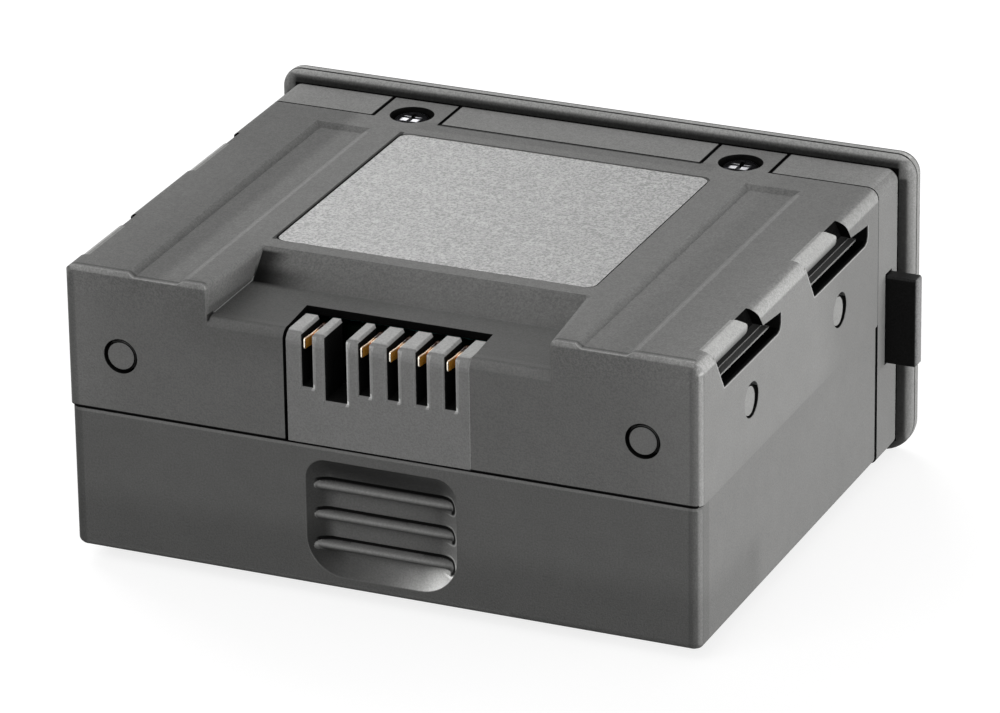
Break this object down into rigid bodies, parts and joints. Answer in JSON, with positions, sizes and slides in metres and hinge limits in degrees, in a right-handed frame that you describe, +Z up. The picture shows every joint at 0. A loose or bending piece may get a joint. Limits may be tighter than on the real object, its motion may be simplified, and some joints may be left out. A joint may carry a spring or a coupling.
{
  "type": "rechargeable battery pack",
  "caption": "Slide-in rechargeable battery pack with a two-part case, lipped end cover, comb of forked contacts, hook notches in the sides and a sprung side latch.",
  "frame": {"origin": "middle of the overall depth and of the case's width, on the flat base", "axes": "+X to the right when facing the contact end, +Y from the contact end to the lipped cover, +Z up"},
  "size_m": [0.1075, 0.0834, 0.0488],
  "materials": {
    "case_plastic": "fine textured dark grey",
    "comb_plastic": "fine textured dark grey",
    "latch_plastic": "smooth black",
    "screw_steel": "dark plated",
    "contact_metal": "gold plated",
    "label_film": "bare grey film",
    "cell_sleeve": "shrink sleeve",
    "inner_plastic": "plain black",
    "link_nickel": "bare nickel",
    "lead_black": "soft sleeve",
    "lead_red": "soft sleeve",
    "insulating_paper": "plain",
    "foam": "closed-cell foam",
    "board_green": "solder mask",
    "chip_black": "moulded"
  },
  "bodies": {
    "pack": {"upper_case": "case_plastic", "lower_case": "case_plastic", "end_cover": "case_plastic", "cover_screws": "screw_steel", "latch_spring": "screw_steel", "latch_keeper": "inner_plastic", "contact_comb": "comb_plastic", "contact_1": "contact_metal", "contact_2": "contact_metal", "contact_3": "contact_metal", "contact_4": "contact_metal", "contact_5": "contact_metal", "label": "label_film", "cell_1": "cell_sleeve", "cell_2": "cell_sleeve", "cell_3": "cell_sleeve", "cell_4": "cell_sleeve", "cell_5": "cell_sleeve", "cell_6": "cell_sleeve", "right_cell_holder": "inner_plastic", "left_cell_holder": "inner_plastic", "right_link_1": "link_nickel", "right_link_2": "link_nickel", "left_link_1": "link_nickel", "left_link_2": "link_nickel", "left_link_3": "link_nickel", "negative_terminal": "link_nickel", "positive_terminal": "link_nickel", "negative_lead": "lead_black", "positive_lead": "lead_red", "right_insulator": "insulating_paper", "left_insulator": "insulating_paper", "foam_pad": "foam", "protection_board": "board_green", "power_transistors": "chip_black", "control_chip": "chip_black"},
    "latch": {"latch": "latch_plastic"}
  },
  "joints": [
    {"name": "latch_slide", "type": "slide", "parent": "pack", "child": "latch", "axis": [-1, 0, 0], "range_m": [0, 0.0046], "stiffness_N_per_m": 400, "springref_m": -0.003, "deforming": ["latch_spring"]}
  ]
}
